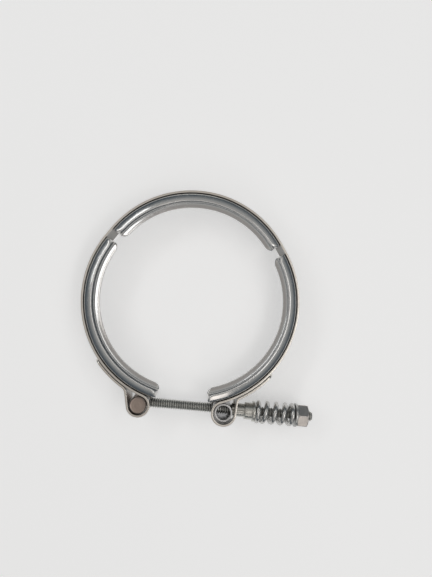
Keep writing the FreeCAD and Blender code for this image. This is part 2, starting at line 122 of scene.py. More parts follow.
def gridFaces(rows, columns, wrapRows=False, wrapColumns=False):
    # the quads of a rows by columns grid of points, closed round either way if asked
    i, j = np.meshgrid(np.arange(rows - (not wrapRows)), np.arange(columns - (not wrapColumns)),
                       indexing="ij")
    nextI, nextJ = (i + 1) % rows, (j + 1) % columns
    corners = [i * columns + j, nextI * columns + j, nextI * columns + nextJ, i * columns + nextJ]
    return np.stack([c.ravel() for c in corners], 1)


def samples(low, high, step, edge, stops=()):
    # places from low to high, a step apart, and closer beside each end and stop where an edge is rounded
    close = edge * (1 - np.cos(np.radians([0, 30, 60, 90])))
    even = np.linspace(low, high, max(2, int(math.ceil((high - low) / step)) + 1))
    found = [even, low + close, high - close]
    for stop in stops:
        found += [stop + close, stop - close]
    places = np.unique(np.round(np.concatenate(found), 7))
    places = places[(places >= low - 1e-9) & (places <= high + 1e-9)]
    fixed = np.round(np.concatenate(found[1:]), 7)
    near = np.abs(places[:, None] - fixed[None, :]).min(1)
    return places[(near < 1e-9) | (near > edge * 0.4)]


def sheetShell(name, middle, across, half, rim, wall, edge, keep=None, **more):
    # A bent sheet: each point of the middle surface goes half a wall out and half a wall in along its
    # normal. Within one edge radius of the rim the half wall shrinks along a quarter circle.
    short = np.clip(edge - rim, 0, edge)
    halfWall = wall / 2 - edge + np.sqrt(edge ** 2 - short ** 2) + half
    rows, columns = rim.shape
    top = (middle + across * halfWall[..., None]).reshape(-1, 3)
    low = (middle - across * halfWall[..., None]).reshape(-1, 3)
    keep = np.ones((rows - 1, columns - 1), bool) if keep is None else keep
    cells = gridFaces(rows, columns)[keep.ravel()]
    padded = np.pad(keep, 1)
    sides = []
    i, j = np.nonzero(padded[1:, 1:-1] != padded[:-1, 1:-1])
    sides.append(np.stack([i * columns + j, i * columns + j + 1], 1))
    i, j = np.nonzero(padded[1:-1, 1:] != padded[1:-1, :-1])
    sides.append(np.stack([i * columns + j, (i + 1) * columns + j], 1))
    sides = np.concatenate(sides)
    count = rows * columns
    walls = np.stack([sides[:, 0], sides[:, 1], sides[:, 1] + count, sides[:, 0] + count], 1)
    faces = np.concatenate([cells, cells[:, ::-1] + count, walls])
    fields = {field: np.concatenate([a.ravel(), b.ravel()]) for field, (a, b) in more.pop("fields").items()}
    uv = np.concatenate([more.pop("uv").reshape(-1, 2)] * 2)
    return meshObject(name, np.concatenate([top, low]), faces, uv=uv, fields=fields, **more)


def roundedProfile(corners, radius, steps=3):
    # each corner of a closed outline becomes a short parabola that starts and ends a radius away
    corners = np.asarray(corners, float)
    before = np.roll(corners, 1, 0) - corners
    after = np.roll(corners, -1, 0) - corners
    lengthBefore, lengthAfter = np.linalg.norm(before, axis=1), np.linalg.norm(after, axis=1)
    cut = np.minimum(radius, 0.45 * np.minimum(lengthBefore, lengthAfter))
    start = corners + before / lengthBefore[:, None] * cut[:, None]
    end = corners + after / lengthAfter[:, None] * cut[:, None]
    t = np.linspace(0, 1, steps + 1)[None, :, None]
    arc = (1 - t) ** 2 * start[:, None] + 2 * t * (1 - t) * corners[:, None] + t ** 2 * end[:, None]
    return arc.reshape(-1, 2)


def fineOutline(outline, longest):
    # a closed outline with its long stretches divided evenly
    following = np.roll(outline, -1, 0)
    parts = np.maximum(1, np.ceil(np.linalg.norm(following - outline, axis=1) / longest)).astype(int)
    share = np.concatenate([np.arange(n) / n for n in parts])
    first = np.repeat(np.arange(len(outline)), parts)
    return outline[first] + (following - outline)[first] * share[:, None]


def lathe(name, outline, centre, axis, around=96, dent=None, smoothAngle=40):
    # A closed outline of (along, radius) pairs is turned about the x or z axis through the centre.
    # dent, if given, is how much the radius shrinks at each (along, radius, angle).
    angle = np.linspace(0, 2 * np.pi, around, endpoint=False)
    along = np.repeat(outline[:, 0][:, None], around, 1)
    radius = np.repeat(outline[:, 1][:, None], around, 1)
    turn = np.repeat(angle[None, :], len(outline), 0)
    if dent is not None:
        radius = radius - dent(along, radius, turn)
    wave = (radius * np.cos(turn), radius * np.sin(turn))
    points = np.stack([along, *wave] if axis == "x" else [*wave, along], -1).reshape(-1, 3) + centre
    lengths = np.linalg.norm(np.diff(np.vstack([outline, outline[:1]]), axis=0), axis=1)
    path = np.concatenate([[0], np.cumsum(lengths)[:-1]])
    uv = np.stack([turn * 0.004, np.repeat(path[:, None], around, 1)], -1).reshape(-1, 2)
    return meshObject(name, points, gridFaces(len(outline), around, True, True), smoothAngle, uv)


# Lines in a plane, as runs of constant curvature

def walk(start, heading, runs, places):
    # Along the line from its start: each run is (length, curvature). A run bends the heading by its
    # curvature times the way gone, and moves by the sine and cosine of the heading, added up.
    lengths, bends = np.array([r[0] for r in runs]), np.array([r[1] for r in runs])
    bends = np.where(np.abs(bends) < 1e-6, 1e-6, bends)
    starts = np.concatenate([[0], np.cumsum(lengths)])
    headings = heading + np.concatenate([[0], np.cumsum(lengths * bends)])
    steps = np.stack([np.diff(np.sin(headings)), -np.diff(np.cos(headings))], 1) / bends[:, None]
    corners = np.array(start) + np.concatenate([[[0, 0]], np.cumsum(steps, 0)])
    run = np.clip(np.searchsorted(starts, places, side="right") - 1, 0, len(runs) - 1)
    turned = headings[run] + bends[run] * (places - starts[run])
    moved = np.stack([np.sin(turned) - np.sin(headings[run]), np.cos(headings[run]) - np.cos(turned)], 1)
    return corners[run] + moved / bends[run][:, None], turned


# V segments

segments = {
    "lipRadius": 42.7 * mm,
    "height": 18.0 * mm,
    "depth": 3.85 * mm,          # from the lips' inner edge to the outside of the web
    "flank": 20.0,               # slope of a flank, degrees
    "wall": 1.3 * mm,
    "bend": 1.55 * mm,           # middle radius of the bends
    "crown": 7.0,                # a flank's slope is this much less at the lip and more at the bend
    "cornerCut": 3.3 * mm,       # the lips' corners are rounded off over this length
    "edge": 0.22 * mm,           # worn radius of the cut edges
    "endEdge": 1.0 * mm,         # the ends are dressed off more
    "step": 0.55 * mm,
    "weldRadius": 1.8 * mm,
    "weldDepth": 0.09 * mm,
    "weldsAt": (-42, -16, 16, 42),   # spot welds to the strap, degrees from the segment's middle
    "lean": 1.2,                 # the sheet's normal leans over this many walls from the lip
    "grimeAndShadeFrom": 45.2 * mm,      # grime and painted shade gather outside this radius, on the bends and web where the segment meets the strap
    "grimeAndShadeOver": 0.9 * mm,
    "grimeAndShadeInside": 0.35,         # grime and painted shade in the channel, as a share of that outside
}


def weldField(along, across, radius):
    # 1 in the middle of a spot weld, 0 where its heat ends: the reach less the distance in weld radii
    return np.clip(clamp["weldReach"] - np.hypot(along, across) / radius, 0, 1)


def makeSegment(name, node, body, middleAngle, splay, hinge):
    s = segments
    slope, t = math.radians(s["flank"]), s["wall"]
    webMiddle = s["lipRadius"] + s["depth"] - t / 2
    lipMiddle = t / 2 / math.cos(slope)
    # the flank is a shallow arc of the crown's angle either way, and the bend turns through what is left
    reach, crown = webMiddle - s["lipRadius"], math.radians(s["crown"])
    chord = (reach - s["bend"] * (1 - math.sin(slope + crown))) / math.cos(slope)
    flank = chord * crown / math.sin(crown)
    bend = s["bend"] * (math.pi / 2 - slope - crown)
    rise = chord * math.sin(slope) + s["bend"] * math.cos(slope + crown)
    web = s["height"] - 2 * (lipMiddle + rise)
    runs = [(flank, 2 * crown / flank), (bend, 1 / s["bend"]), (web, 0), (bend, 1 / s["bend"]),
            (flank, 2 * crown / flank)]
    total = 2 * flank + 2 * bend + web
    along = samples(0, total, s["step"], s["edge"])
    bends = np.concatenate([np.linspace(flank, flank + bend, 9), total - np.linspace(flank, flank + bend, 9)])
    along = np.unique(np.round(np.concatenate([along, bends]), 6))
    line, heading = walk((s["lipRadius"], lipMiddle), slope - crown, runs, along)
    normal = np.stack([np.sin(heading), -np.cos(heading)], 1)
    # the lips are cut square to the flange face, so their ends lean back from the sheet's own normal
    lean = np.clip(1 - np.minimum(along, total - along) / (s["lean"] * s["wall"]), 0, 1)
    upright = np.stack([np.zeros(len(along)), -np.sign(total / 2 - along) / math.cos(slope)], 1)
    normal = normal * (1 - lean[:, None]) + upright * lean[:, None]
    halfArc = math.radians(clamp["segmentAngle"]) / 2
    inside = s["lipRadius"] + s["depth"] - t
    # the corner is a quarter of an ellipse: the cut is its length less its height over the way out
    out = np.clip((inside - line[:, 0]) / (inside - s["lipRadius"]), 0, 1)
    cut = s["cornerCut"] / s["lipRadius"] * (1 - np.sqrt(1 - out ** 2))
    share = samples(-1, 1, s["step"] / (s["lipRadius"] * halfArc), s["endEdge"] / (inside * halfArc))
    count = len(share)
    angle = share[None, :] * (halfArc - cut[:, None])
    radius = np.repeat(line[:, :1], count, 1)
    fromEnd = (1 - np.abs(share))[None, :] * radius * halfArc * s["edge"] / s["endEdge"]
    rim = np.minimum(np.minimum(along, total - along)[:, None], fromEnd)
    welds = np.zeros_like(rim)
    place = (along - total / 2)[:, None]
    for at in s["weldsAt"]:
        welds = np.maximum(welds, weldField(place, (angle - math.radians(at)) * radius, s["weldRadius"]))
    dip = -s["weldDepth"] * np.clip(welds / clamp["weldRim"], 0, 1) / 2
    turn = angle + math.radians(middleAngle)
    cosine, sine = np.cos(turn), np.sin(turn)
    middle = np.stack([radius * cosine, radius * sine, np.repeat(line[:, 1:], count, 1)], -1)
    across = np.stack([normal[:, :1] * cosine, normal[:, :1] * sine, np.repeat(normal[:, 1:], count, 1)], -1)
    # painted shade with grime: the outsides of the bends and web by the strap are darker, the channel less
    outer = np.clip((line[:, 0] - s["grimeAndShadeFrom"]) / s["grimeAndShadeOver"], 0, 1)
    outer = np.repeat(outer[:, None], count, 1)
    worn = np.clip(1 - rim / (3 * s["edge"]), 0, 1)
    spin = math.radians(splay)
    turned = np.array([[math.cos(spin), math.sin(spin)], [-math.sin(spin), math.cos(spin)]])
    middle[..., :2] = (middle[..., :2] - hinge) @ turned + hinge
    across[..., :2] = across[..., :2] @ turned
    uv = np.stack([angle * radius, np.repeat(along[:, None], count, 1)], -1)
    piece = sheetShell(name, middle, across, dip, rim, t, s["edge"], uv=uv, fields={
        "worn": (worn, worn), "grimeandshade": (outer, outer * s["grimeAndShadeInside"]), "weld": (welds, welds)})
    return fasten(piece, body, node)


stepAngle = clamp["segmentAngle"] + clamp["bareAngle"]
rightHinge = leftHinge * np.array([-1, 1])
vSegments = [
    makeSegment("crown_rail", "crown_segment", "crown", 90, 0, np.zeros(2)),
    makeSegment("left_rail", "left_segment", "left_arm", 90 + stepAngle, -clamp["splay"], leftHinge),
    makeSegment("right_rail", "right_segment", "right_arm", 90 - stepAngle, clamp["splay"], rightHinge),
]
print("V segments made")


# Outer strap, in two halves that meet at the crown

strap = {
    "wall": 1.0 * mm,
    "width": 15.0 * mm,
    "tailMiddle": 48.35 * mm,
    "loopAt": 14.6,              # trunnions and loops, degrees from the gap's middle
    "tailEndAt": 47.0,
    # each half's loop radius, where its tail bends (degrees) and how tightly, and its loop's windows:
    # the side that a window is on (1 towards the other arm, -1 away from it) and its height
    "left": {"loop": 4.9 * mm, "bendAt": 26.6, "bend": 4.0 * mm, "windows": ((1, 6.43 * mm),)},
    "right": {"loop": 5.3 * mm, "bendAt": 25.2, "bend": 2.1 * mm,
              "windows": ((1, 6.43 * mm), (-1, 7.8 * mm))},
    "corner": 3.0 * mm,          # rounding of the tails' corners
    "edge": 0.16 * mm,
    "step": 0.5 * mm,
    "weldRadius": 1.8 * mm,
    "weldDepth": 0.12 * mm,
    "tailWeldsAt": (42.5, 36.0),
    "weldFromLoop": 4.0 * mm,    # no weld is nearer to a loop
    "cleanOver": 2.0 * mm,       # the outside's grime fades out over this length at a loop
    "cleanEdge": 0.9 * mm,       # and the inside's grime and painted shade beside the sheared edges
    "grimeOutside": 0.15,
    "grimeAndShadeTail": 0.55,           # grime and painted shade inside the loop and tail, as a share of that inside the arm
}


def strapLine(side):
    # The runs of one half as it stands, from the crown's middle: crown, bare span, arm, loop, straight
    # run, bend and tail. The straight run touches the loop's circle and the bend's circle crosswise.
    g, form = clamp, strap[side]
    ring, loop, tail, bend = g["ringMiddle"], form["loop"], strap["tailMiddle"], form["bend"]
    loopAngle, bendAngle = math.radians(270 - strap["loopAt"]), math.radians(270 - form["bendAt"])
    loopCentre = (ring + loop) * np.array([math.cos(loopAngle), math.sin(loopAngle)])
    bendCentre = (tail + bend) * np.array([math.cos(bendAngle), math.sin(bendAngle)])
    gap = bendCentre - loopCentre
    distance = np.linalg.norm(gap)
    heading = math.atan2(gap[1], gap[0]) - math.asin((bend + loop) / distance)
    loopTurn = (loopAngle + math.pi / 2 - heading) % (2 * math.pi)
    bendTurn = (bendAngle - math.pi / 2 - heading) % (2 * math.pi)
    half, bare, splay = (math.radians(x) for x in (g["segmentAngle"] / 2, g["bareAngle"], g["splay"]))
    armArc = loopAngle - math.pi / 2 - half - bare
    bareLength = ring * bare * 0.9995
    tailArc = math.radians(strap["tailEndAt"] - form["bendAt"])
    return [
        (ring * half, 1 / ring), (bareLength, (bare - splay) / bareLength), (ring * armArc, 1 / ring),
        (loop * loopTurn, -1 / loop), (math.sqrt(distance ** 2 - (bend + loop) ** 2), 0),
        (bend * bendTurn, 1 / bend), (tail * tailArc, -1 / tail),
    ]


def makeStrapHalf(name, side):
    g, form, mirror = clamp, strap[side], 1 if side == "left" else -1
    runs = strapLine(side)
    ends = np.cumsum([r[0] for r in runs])
    total, edge = ends[-1], strap["edge"]
    start = (0, g["ringMiddle"])
    # where the loop's windows for the rod and the sleeve begin and end
    fine = np.linspace(ends[2], ends[4], 4000)
    place = walk(start, math.pi, runs, fine)[0] - np.array([-g["trunnionX"], g["trunnionY"]])
    holes = []
    for window, opening in form["windows"]:
        through = fine[(np.abs(place[:, 1]) < opening / 2) & (place[:, 0] * window > 0)]
        holes.append((through[0], through[-1], opening / 2))
    stops = [x for hole in holes for x in hole[:2]]
    along = samples(0, total, strap["step"], edge, stops)
    bends = np.concatenate([np.linspace(ends[2], ends[3], 72), np.linspace(ends[4], ends[5], 14)])
    bends = bends[np.abs(bends[:, None] - stops).min(1) > edge]
    along = np.unique(np.round(np.concatenate([along, bends]), 6))
    line, heading = walk(start, math.pi, runs, along)
    fromTail = total - along
    corner = strap["corner"]
    short = np.clip(corner - fromTail, 0, corner)
    halfWidth = strap["width"] / 2 - corner + np.sqrt(corner ** 2 - short ** 2)
    marks = sorted({hole[2] for hole in holes})
    across = samples(-strap["width"] / 2, strap["width"] / 2, strap["step"], edge,
                     [sign * mark for mark in marks for sign in (-1, 1)])
    height = across[None, :] * (halfWidth / (strap["width"] / 2))[:, None]
    rim = np.minimum(np.minimum(fromTail[:, None], halfWidth[:, None] - np.abs(height)), 1)
    keep = np.ones((len(along) - 1, len(across) - 1), bool)
    middleAlong, middleAcross = (along[1:] + along[:-1]) / 2, (across[1:] + across[:-1]) / 2
    for low, high, opening in holes:
        inHole = (middleAlong > low) & (middleAlong < high)
        keep &= ~(inHole[:, None] & (np.abs(middleAcross) < opening)[None, :])
        beyond = np.maximum(low - along, along - high)[:, None]
        beyond = np.maximum(beyond, (np.abs(across) - opening)[None, :])
        rim = np.minimum(rim, np.maximum(beyond, 0))
    sideways = np.stack([np.sin(heading), -np.cos(heading)], 1) * np.array([mirror, 1])
    flat = np.repeat((line * np.array([mirror, 1]))[:, None], len(across), 1)
    middle = np.concatenate([flat, g["halfHeight"] + height[..., None]], -1)
    normal = np.zeros_like(middle)
    normal[..., :2] = sideways[:, None, :]
    # spot welds: to the segments, and of the tail to the strap under it
    ring, tail = g["ringMiddle"], strap["tailMiddle"]
    crownWelds = [ring * math.radians(x) for x in segments["weldsAt"] if x > 0]
    armStart = ends[1]
    armWelds = [armStart + ring * math.radians(g["segmentAngle"] / 2 + x) for x in segments["weldsAt"]]
    tailWelds = [total - tail * math.radians(strap["tailEndAt"] - x) for x in strap["tailWeldsAt"]]
    welds = np.zeros_like(rim)
    for at in crownWelds + [x for x in armWelds if x < ends[2] - strap["weldFromLoop"]] + tailWelds:
        welds = np.maximum(welds, weldField((along - at)[:, None], height, strap["weldRadius"]))
    dip = -strap["weldDepth"] * np.clip(welds / g["weldRim"], 0, 1) / 2
    worn = np.clip(1 - rim / (3 * edge), 0, 1)
    # grime outside, and grime with painted shade inside, where the strap lies against the segments, the tube
    # and the strap under the tail: outside it leaves the loop clean, inside it leaves the sheared edges clean
    fade = strap["cleanOver"]
    onLoop = np.clip((along - ends[2]) / fade, 0, 1) * np.clip((ends[4] - along) / fade, 0, 1)
    outer = np.repeat((1 - onLoop)[:, None], len(across), 1) * strap["grimeOutside"]
    inner = np.where(along < ends[2], 1.0, strap["grimeAndShadeTail"])[:, None]
    inner = inner * np.clip(rim / strap["cleanEdge"], 0, 1)
    uv = np.stack([np.repeat(along[:, None], len(across), 1), height], -1)
    piece = sheetShell(name, middle, normal, dip, rim, strap["wall"], edge, keep, uv=uv, fields={
        "worn": (worn, worn), "grimeandshade": (outer, inner), "weld": (welds, welds)})
    direction = np.array([leftHinge[1] * mirror, -leftHinge[0]]) / np.linalg.norm(leftHinge)
    direction = direction if direction[1] < 0 else -direction
    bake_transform(piece)
    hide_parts("outer_strap")
    return piece


straps = [makeStrapHalf("strap_left", "left"),
          makeStrapHalf("strap_right", "right")]
print("strap made")


# T-bolt: barrel and threaded rod

bolt = {
    "barrelRadius": 3.8 * mm,
    "barrelLength": 15.6 * mm,
    "barrelEdge": 0.4 * mm,
    "barrelRim": 0.12 * mm,      # flat rim around the dished end
    "barrelDish": 0.14 * mm,
    "barrelSlope": 0.4 * mm,     # width of the slope from the rim down into the dish
    # turning marks on the dished end: radius and depth below the dish
    "barrelMarks": ((0, 0.08 * mm), (0.35 * mm, 0), (1.5 * mm, 0), (1.75 * mm, 0.06 * mm), (2.0 * mm, 0)),
    "barrelSoft": 0.1 * mm,      # rounding of the barrel's edges
    "rodRadius": 2.415 * mm,
    "rodStart": boxes["threaded_rod"][0][0],
    "rodEnd": boxes["threaded_rod"][1][0],
    "pitch": 1.058 * mm,
    "threadDepth": 0.62 * mm,
    "crest": 0.2,                # share of a pitch that is flat on the crest
    "endCone": 0.75 * mm,
    "around": 28,
    "perPitch": 8,
}


def makeRod():
    # Thread: at (x, angle) the phase is x / pitch + angle / (2 pi). The radius falls from the crest by a
    # triangle wave of the phase with its tip and root cut flat. The grid's rows follow the helix.
    b = bolt
    rows = int((b["rodEnd"] - b["rodStart"]) / b["pitch"] + 2) * b["perPitch"]
    row, turn = np.meshgrid(np.arange(rows), np.arange(b["around"] + 1) / b["around"], indexing="ij")
    x = b["rodStart"] - b["pitch"] + (row / b["perPitch"] + turn) * b["pitch"]
    phase = (row / b["perPitch"]) % 1
    wave = np.clip((np.abs(phase - 0.5) * 2 - b["crest"]) / (1 - 2 * b["crest"]), 0, 1)
    radius = b["rodRadius"] - b["threadDepth"] * (1 - wave)
    x = np.clip(x, b["rodStart"], b["rodEnd"])
    cone = b["rodRadius"] - b["endCone"] + (b["rodEnd"] - x)
    radius = np.minimum(radius, np.maximum(cone, 1.4 * mm))
    radius = np.where((row == 0) | (row == rows - 1), 0, radius)
    angle = turn * 2 * np.pi
    points = np.stack([x, radius * np.cos(angle), radius * np.sin(angle)], -1).reshape(-1, 3) + onBolt(0)
    uv = np.stack([angle * 0.004, x], -1).reshape(-1, 2)
    # painted shade in the thread's roots, with grime; the crests take the wear colour
    root = np.clip((b["rodRadius"] - radius) / b["threadDepth"], 0, 1).ravel()
    rod = meshObject("rod_thread", points, gridFaces(rows, b["around"] + 1), 60, uv,
                     {"grimeandshade": root, "worn": 1 - root})
    return fasten(rod, "t_bolt", "threaded_rod")


def makeBarrel():
    b = bolt
    half = b["barrelLength"] / 2
    rimInside = b["barrelRadius"] - b["barrelEdge"] - b["barrelRim"]
    floor = -half + b["barrelDish"]
    corners = [(floor + depth, radius) for radius, depth in b["barrelMarks"]]
    corners += [(floor, rimInside - b["barrelSlope"]), (-half, rimInside),
                (-half, b["barrelRadius"] - b["barrelEdge"]), (-half + b["barrelEdge"], b["barrelRadius"])]
    corners = np.array(corners + [(-x, r) for x, r in reversed(corners)])
    outline = fineOutline(roundedProfile(corners, b["barrelSoft"]), 0.8 * mm)
    barrel = lathe("barrel_pin", outline, onBolt(-clamp["trunnionX"]), "z")
    return fasten(barrel, "t_bolt", "bolt_barrel")


rod, barrel = makeRod(), makeBarrel()
print("T-bolt made")


# Trunnion tube

tube = {
    "radius": 4.1 * mm,
    "wall": 0.9 * mm,
    "length": 15.6 * mm,
    "edge": 0.2 * mm,
    "holeRadius": 2.665 * mm,
    "holeEdge": 0.08 * mm,
}


def makeTube():
    half, outside, inside = tube["length"] / 2, tube["radius"], tube["radius"] - tube["wall"]
    corners = [(-half, inside), (-half, outside), (half, outside), (half, inside)]
    outline = fineOutline(roundedProfile(corners, tube["edge"]), 0.6 * mm)
    centre = onBolt(clamp["trunnionX"])
    piece = lathe("trunnion_tube_shell", outline, centre, "z", around=120)
    reach = 1.4 * tube["radius"]
    hole = tube["holeRadius"]
    drill = lathe("drill", np.array([(-reach, 0), (-reach, hole), (reach, hole), (reach, 0)]), centre, "x",
                  around=64)
    bore = piece.modifiers.new("bore", "BOOLEAN")
    bore.operation, bore.solver, bore.object = "DIFFERENCE", "EXACT", drill
    bevel = piece.modifiers.new("rounding", "BEVEL")
    bevel.width, bevel.segments = tube["holeEdge"], 2
    bevel.limit_method, bevel.angle_limit = "ANGLE", math.radians(50)
    finished = bpy.data.meshes.new_from_object(piece.evaluated_get(bpy.context.evaluated_depsgraph_get()))
    piece.modifiers.clear()
    piece.data = finished
    bpy.data.objects.remove(drill)
    finished.shade_smooth()
    finished.set_sharp_from_angle(angle=math.radians(40))
    return fasten(piece, "trunnion", "trunnion_tube")


trunnion = makeTube()
print("trunnion tube made")


# Spring pack: seat, spring, washer

pack = {
    "seatStart": boxes["spring_seat"][0][0],
    "bore": 2.665 * mm,
    "neck": (3.1 * mm, 6.0 * mm),        # radius and length
    "collar": (3.9 * mm, 3.7 * mm),
    "flange": (4.7 * mm, 1.2 * mm),
    "slit": 0.22 * mm,                   # half width of the rolled neck's seam
    "slitDepth": 0.3 * mm,
    "slitAt": 78,                        # degrees round the bolt
    "springStart": boxes["spring_seat"][1][0],
    "springLength": boxes["washer"][0][0] - boxes["spring_seat"][1][0],
    "turned": 180,                       # where the wire's first end stands
    "squeeze": 6 * mm,                   # the joint's travel
    "coilRadius": 4.3 * mm,
    "wire": 1.15 * mm,
    "turns": 4.75,
    "closed": 0.5,
    "rise": 0.3 * mm,
    "play": 0.02 * mm,
    "washerStart": boxes["washer"][0][0],
    "washer": (5.45 * mm, 1.0 * mm),
}


def makeSeat():
    bore, (neck, neckLength), (collar, collarLength), (flange, flangeLength) = (
        pack["bore"], pack["neck"], pack["collar"], pack["flange"])
    second, third = neckLength + collarLength, neckLength + collarLength + flangeLength
    corners = np.array([(0, bore), (0, neck), (neckLength, neck), (neckLength, collar), (second, collar),
                        (second, flange), (third, flange), (third, bore)])
    outline = fineOutline(roundedProfile(corners, 0.2 * mm), 0.7 * mm)

    def slit(along, radius, turn):
        # the depth falls evenly to nothing at half the seam's width, on the neck's outside only
        off = np.abs((turn - math.radians(pack["slitAt"]) + np.pi) % (2 * np.pi) - np.pi) * neck
        outside = (along < neckLength - 0.3 * mm) & (radius > bore + 0.1 * mm)
        return np.clip(1 - off / pack["slit"], 0, 1) * outside * pack["slitDepth"]

    piece = lathe("seat_sleeve", outline, onBolt(pack["seatStart"]), "x", around=144, dent=slit)
    return fasten(piece, "spring_pack", "spring_seat")


def makeWasher():
    radius, thick = pack["washer"]
    corners = [(0, pack["bore"]), (0, radius), (thick, radius), (thick, pack["bore"])]
    outline = fineOutline(roundedProfile(corners, 0.18 * mm), 0.7 * mm)
    piece = lathe("washer_ring", outline, onBolt(pack["washerStart"]), "x", around=96)
    return fasten(piece, "washer", "washer")


def makeSpring():
    # The wire's middle turns left-handed about the bolt and climbs slowly in its closed ends: by the
    # square of the share of a closed turn. A ring of points stands across it at each step.
    p = pack
    start = p["wire"] + p["play"]
    pitch = (p["springLength"] - 2 * start - 2 * p["rise"]) / (p["turns"] - 2 * p["closed"])
    turn = np.linspace(0, p["turns"], int(p["turns"] * 48) + 1)
    fromEnd = np.minimum(turn, p["turns"] - turn)
    climb = np.where(fromEnd < p["closed"], start + p["rise"] * (fromEnd / p["closed"]) ** 2,
                     start + p["rise"] + pitch * (fromEnd - p["closed"]))
    climb = np.where(turn > p["turns"] / 2, p["springLength"] - climb, climb)
    angle = math.radians(p["turned"]) - 2 * np.pi * turn
    path = np.stack([climb, p["coilRadius"] * np.cos(angle), p["coilRadius"] * np.sin(angle)], 1)
    tangent = np.gradient(path, axis=0)
    tangent /= np.linalg.norm(tangent, axis=1)[:, None]
    outward = np.stack([np.zeros(len(turn)), np.cos(angle), np.sin(angle)], 1)
    sideways = np.cross(tangent, outward)
    # each end is rounded off: the last rings shrink along a small curve and close to a point
    rows = np.concatenate([[0, 0, 0, 0], np.arange(len(turn)), [len(turn) - 1] * 4])
    push = np.concatenate([[0, 0, 0.02, 0.08], np.full(len(turn), 0.2), [0.08, 0.02, 0, 0]]) - 0.2
    push[-4:] *= -1
    size = np.concatenate([[0, 0.8, 0.93, 0.98], np.ones(len(turn)), [0.98, 0.93, 0.8, 0]])
    ring = np.linspace(0, 2 * np.pi, 28, endpoint=False)
    across = outward[rows, None] * np.cos(ring)[:, None] + sideways[rows, None] * np.sin(ring)[:, None]
    points = path[rows, None] + tangent[rows, None] * (push * p["wire"])[:, None, None]
    points = points + across * (size * p["wire"])[:, None, None]
    foot = onBolt(p["springStart"])
    way = np.concatenate([[0], np.cumsum(np.linalg.norm(np.diff(path, axis=0), axis=1))])[rows]
    uv = np.stack(np.broadcast_arrays(way[:, None], ring[None, :] * p["wire"]), -1).reshape(-1, 2)
    faces = gridFaces(len(rows), len(ring), False, True)
    piece = meshObject("coil_spring", points.reshape(-1, 3) + foot, faces, 60, uv)
    fasten(piece, "spring_pack", "spring")
    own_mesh(piece)
    return piece


seat, washer, spring = makeSeat(), makeWasher(), makeSpring()
print("spring pack made")


# Hexagon nut

nut = {
    "start": boxes["hex_nut"][0][0],
    "height": 5.0 * mm,
    "turned": 11,                # from straight up to a corner, on the crown's side
    "flats": 9.53 * mm,
    "bore": 2.475 * mm,
    "bevel": 30.0,
    "soft": 0.06 * mm,           # how softly flats, corners and bevels run together
}


def makeNut():
    # The radius at (x, angle) is the smaller of the hexagon's, flats / 2 over the cosine of the angle from
    # the nearest flat's middle, and the bevel cone's; a soft minimum rounds the edges between them.
    n = nut
    flat = n["flats"] / 2
    near = np.radians([-4, -2, -1, -0.4, 0, 0.4, 1, 2, 4])
    atCorners = [near % (2 * np.pi) + k * np.pi / 3 for k in range(6)]
    angle = np.concatenate([np.linspace(0, 2 * np.pi, 97)[:-1]] + atCorners)
    angle = np.unique(np.round(angle % (2 * np.pi), 6))
    inner = samples(0, n["height"], 0.12 * mm, 0.1 * mm)
    across = np.abs(angle % (np.pi / 3) - np.pi / 6)
    hexagon = flat / np.cos(across[None, :])
    fromFace = np.minimum(inner, n["height"] - inner)
    cone = flat + fromFace / math.tan(math.radians(n["bevel"]))
    soft = n["soft"]
    outer = -soft * np.logaddexp(-hexagon / soft, -cone[:, None] / soft)
    outer = -soft * np.logaddexp(-outer / soft, -(flat / math.cos(math.pi / 6) - 0.03 * mm) / soft)
    count = len(angle)
    rings = [(0, n["bore"]), (0, n["bore"] + 0.5 * mm), (0, flat * 0.8), (0, flat - 0.12 * mm)]
    radius = np.concatenate([np.repeat([[r] for _, r in rings], count, 1), outer,
                             np.repeat([[r] for _, r in reversed(rings)], count, 1)])
    x = np.concatenate([[0.5 * mm, 0, 0, 0], inner, [n["height"]] * 3, [n["height"] - 0.5 * mm]])
    turn = angle + np.pi / 2 - math.radians(n["turned"])
    points = np.stack(np.broadcast_arrays(x[:, None], radius * np.cos(turn), radius * np.sin(turn)), -1)
    uv = np.stack(np.broadcast_arrays(turn[None, :] * 0.005, x[:, None] + radius), -1).reshape(-1, 2)
    faces = gridFaces(len(x), count, True, True)
    piece = meshObject("nut_hex", points.reshape(-1, 3) + onBolt(n["start"]), faces, 35, uv)
    return fasten(piece, "nut", "hex_nut")


hexNut = makeNut()
print("nut made")


# Materials

def add(tree, kind, inputs=None, **settings):
    # a node with these settings, whose inputs take a value or a link from another node's socket
    made = tree.nodes.new(kind)
    for key, value in settings.items():
        setattr(made, key, value)
    for key, value in (inputs or {}).items():
        if isinstance(value, bpy.types.NodeSocket):
            tree.links.new(value, made.inputs[key])
        else:
            made.inputs[key].default_value = value
    return made


def calc(tree, operation, first, second=0.0, third=0.0):
    # one sum, product or the like
    return add(tree, "ShaderNodeMath", {0: first, 1: second, 2: third}, operation=operation).outputs[0]


def spread(tree, value, low, high, newLow=0.0, newHigh=1.0):
    # a value eased from one range to another
    inputs = {"Value": value, "From Min": low, "From Max": high, "To Min": newLow, "To Max": newHigh}
    return add(tree, "ShaderNodeMapRange", inputs, interpolation_type="SMOOTHSTEP").outputs[0]


def blended(tree, share, first, second, kind="MIX"):
    # two colours mixed by a share
    mixed = add(tree, "ShaderNodeMix", data_type="RGBA", blend_type=kind)
    for socket, value in ((mixed.inputs[0], share), (mixed.inputs[6], first), (mixed.inputs[7], second)):
        if isinstance(value, bpy.types.NodeSocket):
            tree.links.new(value, socket)
        else:
            socket.default_value = value
    return mixed.outputs[2]


def noise(tree, vector, scale, detail=2.0, roughness=0.5):
    return add(tree, "ShaderNodeTexNoise", {"Vector": vector, "Scale": scale, "Detail": detail,
                                            "Roughness": roughness}).outputs["Fac"]


